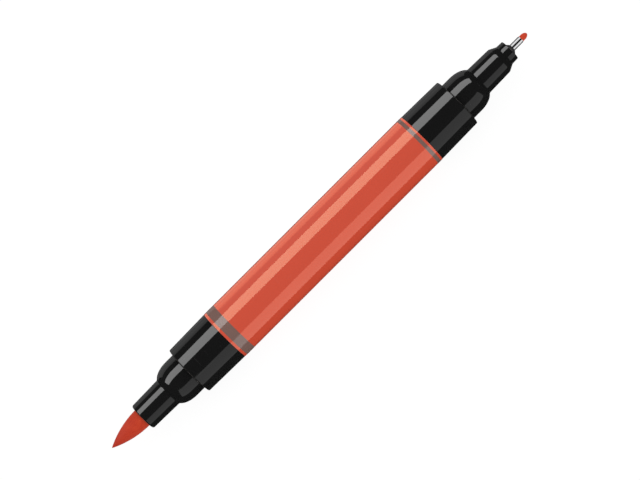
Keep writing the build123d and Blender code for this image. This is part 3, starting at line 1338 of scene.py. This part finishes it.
@dataclass(frozen=True)
class FineSection(FrontPiece):
    """The black front piece of the fine end, with a stepped cone and a collar.

    Attributes:
        end: The fine end.
        sleeve_length: How far its sleeve stands out of the barrel.
        nozzle_length: The nozzle's length.
        nozzle_end: Its radius at its end.
        nozzle_edge: The rounding where the cone starts.
        cone_length: The cone's length.
        collar_root: The collar's radius at the cone.
        collar_root_fillet: The hollow rounding there.
        collar_end: The collar's radius at its face.
        collar_length: Its length.
        collar_edge: The rounding of its face's edge.
        holder_radius: The bore that the tip holder fills.
        flange_radius: The wider bore that its flange fills.
        flange_shoulder: How far behind the face the wider bore ends.
    """

    end: End = End.FINE
    sleeve_length: float = 11.6 * MM
    nozzle_length: float = 6.79 * MM
    nozzle_end: float = 3.54 * MM
    nozzle_edge: float = 0.25 * MM
    cone_length: float = 1.68 * MM
    collar_root: float = 2.67 * MM
    collar_root_fillet: float = 0.2 * MM
    collar_end: float = 2.61 * MM
    collar_length: float = 1.82 * MM
    collar_edge: float = 0.2 * MM
    holder_radius: float = 1.71 * MM
    flange_radius: float = 2.21 * MM
    flange_shoulder: float = 9.5 * MM

    @property
    def cone_start(self) -> float:
        """How far out the cone starts."""
        return self.dome_end + self.nozzle_length

    @property
    def collar_start(self) -> float:
        """How far out the collar starts."""
        return self.cone_start + self.cone_length

    @property
    def face(self) -> float:
        """How far out the collar's face is."""
        return self.collar_start + self.collar_length

    def build(self) -> None:
        """Builds the front piece."""
        shoulder = self.face - self.flange_shoulder
        cone = [self.out(self.cone_start, self.nozzle_end), self.out(self.collar_start, self.collar_root)]
        face = [self.out(self.face, self.collar_end), self.out(self.face, self.holder_radius)]
        bore = [self.out(shoulder, self.holder_radius), self.out(shoulder, self.flange_radius)]
        outline = self.outside() + cone + face + bore + self.chamber(self.flange_radius)
        work = Workpiece.turned("fine_front_piece", outline, Closing.LOOP)
        self.round_shared_edges(work)
        work.round_rings([cone[0]], self.nozzle_edge, 4)
        work.round_rings([cone[1]], self.collar_root_fillet, 6)
        work.round_rings([face[0]], self.collar_edge, 4)
        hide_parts("fine_section")
        work.finished(PEN_BODY, self.plastic(face[0].x), "black_plastic")
        log.info("fine front piece: %d faces", len(work.piece.data.polygons))


# ------------------------------------------------------------------ nibs


def ogive(base: float, length: float, radius: float, blunt: float, steps: int) -> list[Ring]:
    """Rings of a rod's point: a circular arc that ends in a small round tip.

    Args:
        base: Where the point starts along X.
        length: Its length, negative to point towards -X.
        radius: The rod's radius.
        blunt: The radius of the tip's rounding.
        steps: How many chords the long arc gets.

    Returns:
        The rings in order, the last one on the axis.
    """
    way = math.copysign(1, length)
    tip_centre = abs(length) - blunt
    side = (tip_centre**2 + radius**2 - blunt**2) / (2 * (radius - blunt))
    side_angle = math.degrees(math.asin(tip_centre / (side - blunt)))
    flank = arc(Ring(base, radius - side), way * side, side, 90, 90 - side_angle, steps)
    tip = arc(Ring(base + way * tip_centre, 0), way * blunt, blunt, 90 - side_angle, 0, 6)
    return flank + tip


@dataclass(frozen=True)
class BrushNib:
    """The soft fibre nib, one rod with a point at each end, which bends in front of its nozzle.

    Attributes:
        radius: The rod's radius.
        point_length: The length of each point.
        tip_radius: The rounding of each tip.
        rod_length: How much of the rod lies behind the nozzle's mouth.
        lump_size: How wide the lumps of its surface are.
        lump_depth: How deep they are.
        attribute: The attribute that keeps its unbent coordinates.
    """

    radius: float = 2.425 * MM
    point_length: float = 9.95 * MM
    tip_radius: float = 0.12 * MM
    rod_length: float = 12.0 * MM
    lump_size: float = 0.9 * MM
    lump_depth: float = 0.03 * MM
    attribute: str = "unbent_place"

    def build(self) -> None:
        """Builds the nib and stores where each of its vertices is at rest."""
        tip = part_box("brush_nib_point")[0].x
        mouth = tip + self.point_length
        back = mouth + self.rod_length
        front_point = ogive(mouth, -self.point_length, self.radius, self.tip_radius, 56)
        rear_point = ogive(back, self.point_length, self.radius, self.tip_radius, 24)
        outline = list(reversed(rear_point)) + front_point
        work = Workpiece.turned("brush_nib", outline, Closing.POINTS)
        self.roughen(work)
        pick(work.piece)
        bpy.ops.object.shade_smooth()
        self.keep_unbent_places(work.piece)
        fibre = InkedFibre(
            "brush_nib_fibre", INK_PALE, INK_DEEP, fibres=5200.0, attribute=self.attribute, tip=tip
        ).material()
        work.dress(fibre, "nib_fibre")
        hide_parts("brush_nib_stem", "brush_nib_point")
        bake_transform(work.piece)
        log.info("brush nib: %d faces", len(work.piece.data.polygons))

    def roughen(self, work: Workpiece) -> None:
        """Gives the nib the slightly uneven surface of cut and ground fibre.

        Args:
            work: The nib.
        """
        lumps = bpy.data.textures.new("nib_lumps", "CLOUDS")
        lumps.noise_scale = self.lump_size
        displace = work.piece.modifiers.new("lumps", "DISPLACE")
        displace.texture = lumps
        displace.texture_coords = "LOCAL"
        displace.mid_level = 1.0
        displace.strength = self.lump_depth
        pick(work.piece)
        bpy.ops.object.modifier_apply(modifier=displace.name)

    def keep_unbent_places(self, piece: bpy.types.Object) -> None:
        """Stores where each vertex is at rest, for the grain to follow when the nib moves.

        Args:
            piece: The nib.
        """
        places = piece.data.attributes.new(self.attribute, "FLOAT_VECTOR", "POINT")
        for vertex, kept in zip(piece.data.vertices, places.data):
            kept.vector = vertex.co


@dataclass(frozen=True)
class FineTip:
    """The fine writing tip: fibre nib, steel tube and the coned bushing that holds them.

    Attributes:
        nib_radius: The fibre nib's radius.
        nib_tip_length: How long its rounded writing end is.
        nib_tip_radius: The rounding of its very tip.
        tube_bore: The tube's bore radius.
        tube_radius: The tube's outer radius.
        tube_gap: The gap between the tube and the bushing.
        crimp_length: How long the turned-in front edge of the tube is.
        crimp_depth: How far it is turned in.
        holder_radius: The bushing's radius.
        holder_nib_bore: Its bore behind the tube.
        flange_radius: The radius of its flange.
        flange_length: The flange's length.
        cone_length: How far its cone stands out of the collar.
    """

    nib_radius: float = 0.735 * MM
    nib_tip_length: float = 1.1 * MM
    nib_tip_radius: float = 0.45 * MM
    tube_bore: float = 0.745 * MM
    tube_radius: float = 0.845 * MM
    tube_gap: float = 0.008 * MM
    crimp_length: float = 0.3 * MM
    crimp_depth: float = 0.06 * MM
    holder_radius: float = 1.7 * MM
    holder_nib_bore: float = 0.835 * MM
    flange_radius: float = 2.2 * MM
    flange_length: float = 1.5 * MM
    cone_length: float = 0.75 * MM

    def build(self) -> None:
        """Builds the bushing, the tube and the nib."""
        self.holder()
        self.tube()
        self.nib()

    def holder(self) -> None:
        """Turns the bushing."""
        low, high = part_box("fine_tip_holder")
        held_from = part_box("fine_tip_tube")[0].x
        collar_face = high.x - self.cone_length
        tube_seat = self.tube_radius + self.tube_gap
        cone = spread(Ring(collar_face, self.holder_radius), Ring(high.x, tube_seat), 3)
        shoulder = low.x + self.flange_length
        outline = [
            Ring(low.x, self.holder_nib_bore),
            Ring(low.x, self.flange_radius),
            Ring(shoulder, self.flange_radius),
            Ring(shoulder, self.holder_radius),
            *cone,
            Ring(held_from, tube_seat),
            Ring(held_from, self.holder_nib_bore),
        ]
        work = Workpiece.turned("tip_bushing", outline, Closing.LOOP, TIP_SEGMENTS)
        work.round_rings([cone[0]], self.cone_length / 4, 4)
        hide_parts("fine_tip_holder")
        plastic = MetallicPlastic("bushing_plastic", BUSHING_GREY).material()
        work.finished(PEN_BODY, plastic, "holder_plastic")
        log.info("tip bushing: %d faces", len(work.piece.data.polygons))

    def tube(self) -> None:
        """Turns the steel tube with its front edge turned in."""
        low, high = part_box("fine_tip_tube")
        crimp = Ring(high.x - self.crimp_length, self.tube_radius)
        lip = Ring(high.x, self.tube_radius - self.crimp_depth)
        outline = [
            Ring(low.x, self.tube_bore),
            Ring(low.x, self.tube_radius),
            *spread(Ring(low.x + self.crimp_length, self.tube_radius), crimp, 6),
            lip,
            Ring(high.x, self.tube_bore),
        ]
        work = Workpiece.turned("tip_tube", outline, Closing.LOOP, TIP_SEGMENTS)
        work.round_rings([crimp], self.crimp_length / 3, 3)
        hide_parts("fine_tip_tube")
        steel = DrawnSteel("tip_steel", BRIGHT_STEEL).material()
        work.finished(PEN_BODY, steel, "tube_steel")
        log.info("tip tube: %d faces", len(work.piece.data.polygons))

    def nib(self) -> None:
        """Turns the fibre nib with its rounded writing end."""
        low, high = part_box("fine_nib")
        shoulder = high.x - self.nib_tip_length
        bevel = self.nib_radius / 4
        outline = [
            Ring(low.x, 0),
            Ring(low.x, self.nib_radius - bevel),
            *spread(Ring(low.x + bevel, self.nib_radius), Ring(shoulder, self.nib_radius), 12),
            *ogive(shoulder, self.nib_tip_length, self.nib_radius, self.nib_tip_radius, 10),
        ]
        work = Workpiece.turned("fine_fibre_nib", outline, Closing.POINTS, TIP_SEGMENTS)
        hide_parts("fine_nib")
        fibre = InkedFibre(
            "fine_nib_fibre", INK_PALE, INK_DEEP, fibres=11000.0, depth=0.006 * MM
        ).material()
        work.finished(PEN_BODY, fibre, "nib_fibre")
        log.info("fine fibre nib: %d faces", len(work.piece.data.polygons))


class Reservoir:
    """The fibre ink reservoir and its film, which keep their CAD shapes."""

    def build(self) -> None:
        """Dresses the two CAD nodes."""
        core = InkedFibre("reservoir_fibre", INK_IN_CORE, INK_DEEP, fibres=2400.0, depth=0.03 * MM)
        film = ClearFilm("reservoir_film", FILM_TINT)
        for node, finish in (("reservoir_core", core), ("reservoir_film", film)):
            self.dress(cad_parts[node], finish.material())
            log.info("%s: dressed", node)

    @staticmethod
    def dress(node: bpy.types.Object, material: bpy.types.Material) -> None:
        """Puts a material on a CAD node.

        Args:
            node: The CAD node's object.
            material: Its new finish.
        """
        for slot in node.material_slots:
            slot.material = material


# ------------------------------------------------------------------ studio


STRIP_DISTANCE = 0.6
SHORT_STRIP = 0.84
LONG_STRIP = 3.4


class Lit(Enum):
    """Groups of pieces that a strip light may show in, each with the names of its pieces."""

    BARREL = ("barrel_tube",)
    RINGS = ("wide_printed_ring", "narrow_printed_ring")
    FRONTS = ("brush_front_piece", "fine_front_piece", "brush_nib", "fine_fibre_nib")
    STEEL = ("tip_tube", "tip_bushing")


@dataclass(frozen=True)
class StripLight:
    """A long light parallel to the pen, placed by its angles round the pen's axis.

    Attributes:
        name: Its name.
        start: The angle at which it starts, in degrees from straight at the camera, towards
            the far side of the pen over its top.
        end: The angle at which it ends.
        radiance: How bright it looks in red, green and blue, where 1 is white.
        lit: The groups of pieces that it shows in.
        length: How long it is.
        distance: How far it stands from the pen's axis.
    """

    name: str
    start: float
    end: float
    radiance: tuple[float, float, float]
    lit: tuple[Lit, ...]
    length: float = 1.32
    distance: float = STRIP_DISTANCE


def neutral(radiance: float) -> tuple[float, float, float]:
    """A white light's radiance in red, green and blue."""
    return (radiance, radiance, radiance)


@dataclass(frozen=True)
class Studio:
    """The pale floor, the lights and the camera.

    Attributes:
        elevation: How high the camera stands above the horizon, in degrees.
        roll: How far the pen is turned in the frame, in degrees.
        camera_distance: How far the camera is from the pen.
        camera_along: How far along the pen from its middle the camera looks.
        clip: The nearest and the farthest that the camera sees.
        lens: Its focal length in millimetres.
        sensor: Its sensor width in millimetres.
        floor_size: The side of the square floor.
        floor_glow: How bright the floor looks with no light on it.
        floor_white: How white the floor is under the lights.
        ambient: How bright the pale surroundings look from a matt surface.
        reflected: How bright the surroundings look in a glossy surface.
        backdrop: How bright the surroundings look from the camera.
        key_angle: The angle round the pen's axis at which the soft light hangs, in degrees.
        key_distance: How far it hangs from the axis.
        key_size: The side of its square.
        key_radiance: How bright it looks, where 1 is white.
        strips: The long lights that show in glossy surfaces.
    """

    elevation: float = 60.0
    roll: float = 45.0
    camera_distance: float = 0.6
    camera_along: float = 0.2 * MM
    clip: tuple[float, float] = (0.01, 20.0)
    lens: float = 146.8
    sensor: float = 36.0
    floor_size: float = 6.0
    floor_glow: float = 0.95
    floor_white: float = 0.07
    ambient: float = 1.12
    reflected: float = 0.012
    backdrop: float = 1.05
    key_angle: float = 40.0
    key_distance: float = 0.8
    key_size: float = 0.7
    key_radiance: float = 0.68
    strips: tuple[StripLight, ...] = (
        StripLight("key_strip", 30.0, 65.0, neutral(4.3), (Lit.FRONTS, Lit.RINGS)),
        StripLight("fill_strip", -87.0, -36.5, neutral(0.68), (Lit.FRONTS,), SHORT_STRIP),
        StripLight("rim_strip", 97.0, 124.0, neutral(0.47), (Lit.FRONTS,), SHORT_STRIP),
        StripLight("rim_edge_strip", 124.0, 154.0, neutral(0.3), (Lit.FRONTS, Lit.RINGS), SHORT_STRIP),
        StripLight("barrel_key_strip", 28.0, 66.0, (5.8, 4.4, 3.1), (Lit.BARREL,), LONG_STRIP),
        StripLight("barrel_fill_strip", -87.0, -38.5, (3.25, 1.75, 1.35), (Lit.BARREL,), LONG_STRIP),
        StripLight("barrel_rim_strip", 97.0, 120.0, (2.6, 1.3, 0.95), (Lit.BARREL,), LONG_STRIP),
        StripLight("barrel_rim_edge_strip", 120.0, 150.0, (1.7, 0.9, 0.68), (Lit.BARREL,), LONG_STRIP),
        StripLight("barrel_sheen_strip", -38.5, 28.0, neutral(0.3), (Lit.BARREL,), LONG_STRIP),
        StripLight("barrel_top_sheen_strip", 66.0, 97.0, neutral(0.62), (Lit.BARREL,), LONG_STRIP),
        StripLight("ring_fill_strip", -87.0, -38.5, neutral(1.8), (Lit.RINGS,), LONG_STRIP),
        StripLight("steel_upper_strip", 31.0, 96.0, neutral(0.85), (Lit.STEEL,)),
        StripLight("steel_lower_strip", -96.0, -31.0, neutral(0.85), (Lit.STEEL,)),
    )

    def build(self) -> None:
        """Sets up the whole studio."""
        self.lay_floor()
        self.light_room()
        for strip in self.strips:
            self.hang_strip(strip)
        self.hang_key()
        self.place_camera()
        bpy.context.scene.view_settings.view_transform = "Standard"
        log.info("studio: %d strips", len(self.strips))

    def around(self, angle: float) -> Vector:
        """The direction at an angle round the pen's axis.

        Args:
            angle: Degrees from straight at the camera, towards the far side over the top.

        Returns:
            A unit vector away from the axis.
        """
        turn = math.radians(self.elevation + angle)
        return Vector((0, -math.cos(turn), math.sin(turn)))

    def lay_floor(self) -> None:
        """Lays a pale floor under the barrel that shows only a faint shadow."""
        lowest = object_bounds()[0].z
        deselect_everything()
        bpy.ops.mesh.primitive_plane_add(size=self.floor_size, location=(0, 0, lowest))
        floor = bpy.context.active_object
        floor.name = "floor"
        material = bpy.data.materials.new("pale_floor")
        material.use_nodes = True
        material.node_tree.nodes.clear()
        board = Board(material.node_tree)
        glow = board.add("ShaderNodeEmission", Strength=self.floor_glow)
        white = board.add("ShaderNodeBsdfDiffuse", Color=(self.floor_white,) * 3 + (1.0,))
        both = board.add("ShaderNodeAddShader")
        board.join(glow.outputs[0], both.inputs[0])
        board.join(white.outputs[0], both.inputs[1])
        result = board.add("ShaderNodeOutputMaterial")
        board.join(both.outputs[0], result.inputs["Surface"])
        floor.data.materials.append(material)
        floor.visible_glossy = False
        floor.visible_shadow = False
        floor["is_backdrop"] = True

    def light_room(self) -> None:
        """Surrounds the pen with pale light for matt surfaces and a dark room for glossy ones."""
        world = bpy.data.worlds.new("studio")
        bpy.context.scene.world = world
        world.cycles.sampling_method = "NONE"
        world.use_nodes = True
        world.node_tree.nodes.clear()
        board = Board(world.node_tree)
        path = board.add("ShaderNodeLightPath")
        pale = board.add("ShaderNodeBackground", Strength=self.ambient)
        white = board.add("ShaderNodeBackground", Strength=self.backdrop)
        dark = board.add("ShaderNodeBackground", Strength=self.reflected)
        matt = board.add("ShaderNodeMixShader", Fac=path.outputs["Is Diffuse Ray"])
        board.join(dark.outputs[0], matt.inputs[1])
        board.join(pale.outputs[0], matt.inputs[2])
        seen = board.add("ShaderNodeMixShader", Fac=path.outputs["Is Camera Ray"])
        board.join(matt.outputs[0], seen.inputs[1])
        board.join(white.outputs[0], seen.inputs[2])
        result = board.add("ShaderNodeOutputWorld")
        board.join(seen.outputs[0], result.inputs["Surface"])

    def hang_strip(self, strip: StripLight) -> None:
        """Hangs a long light that shows in glossy surfaces only.

        Args:
            strip: The light.
        """
        half_angle = math.radians(strip.end - strip.start) / 2
        away = self.around((strip.start + strip.end) / 2)
        width = 2 * strip.distance * math.sin(half_angle)
        bpy.ops.object.light_add(type="AREA", location=away * strip.distance * math.cos(half_angle))
        light = bpy.context.active_object
        light.name = strip.name
        light.data.shape = "RECTANGLE"
        light.data.size = strip.length
        light.data.size_y = width
        brightest = max(strip.radiance)
        light.data.color = [channel / brightest for channel in strip.radiance]
        light.data.energy = brightest * math.pi * strip.length * width
        across = away.cross(Vector((1, 0, 0)))
        turn = Matrix((Vector((1, 0, 0)), across, away)).transposed()
        light.rotation_euler = turn.to_euler()
        light.visible_diffuse = False
        light.visible_camera = False
        lit = bpy.data.collections.new(strip.name)
        for name in (name for group in strip.lit for name in group.value):
            lit.objects.link(bpy.data.objects[name])
        light.light_linking.receiver_collection = lit

    def hang_key(self) -> None:
        """Hangs a broad soft light over the pen for its matt surfaces."""
        away = self.around(self.key_angle)
        bpy.ops.object.light_add(type="AREA", location=away * self.key_distance)
        key = bpy.context.active_object
        key.name = "soft_key"
        key.data.shape = "SQUARE"
        key.data.size = self.key_size
        key.data.energy = self.key_radiance * math.pi * self.key_size**2
        key.rotation_euler = away.to_track_quat("Z", "Y").to_euler()
        key.visible_glossy = False
        key.visible_camera = False

    def place_camera(self) -> None:
        """Looks square at the pen and turns the frame, so that the pen runs up to the right."""
        towards = self.around(0)
        over = self.around(90)
        along = Vector((1, 0, 0))
        turn = math.radians(self.roll)
        right = along * math.cos(turn) - over * math.sin(turn)
        up = along * math.sin(turn) + over * math.cos(turn)
        bpy.ops.object.camera_add()
        camera = bpy.context.active_object
        camera.name = "camera"
        camera.data.lens = self.lens
        camera.data.sensor_width = self.sensor
        camera.data.clip_start, camera.data.clip_end = self.clip
        placed = Matrix((right, up, towards)).transposed().to_4x4()
        placed.translation = towards * self.camera_distance + along * self.camera_along
        camera.matrix_world = placed
        bpy.context.scene.camera = camera


def main() -> None:
    """Builds the pen piece by piece, then the studio round it."""
    logging.basicConfig(level=logging.INFO, format="%(name)s: %(message)s")
    Barrel().build()
    BrushSection().build()
    FineSection().build()
    BrushNib().build()
    FineTip().build()
    Reservoir().build()
    Studio().build()


if __name__ == "__main__":
    main()
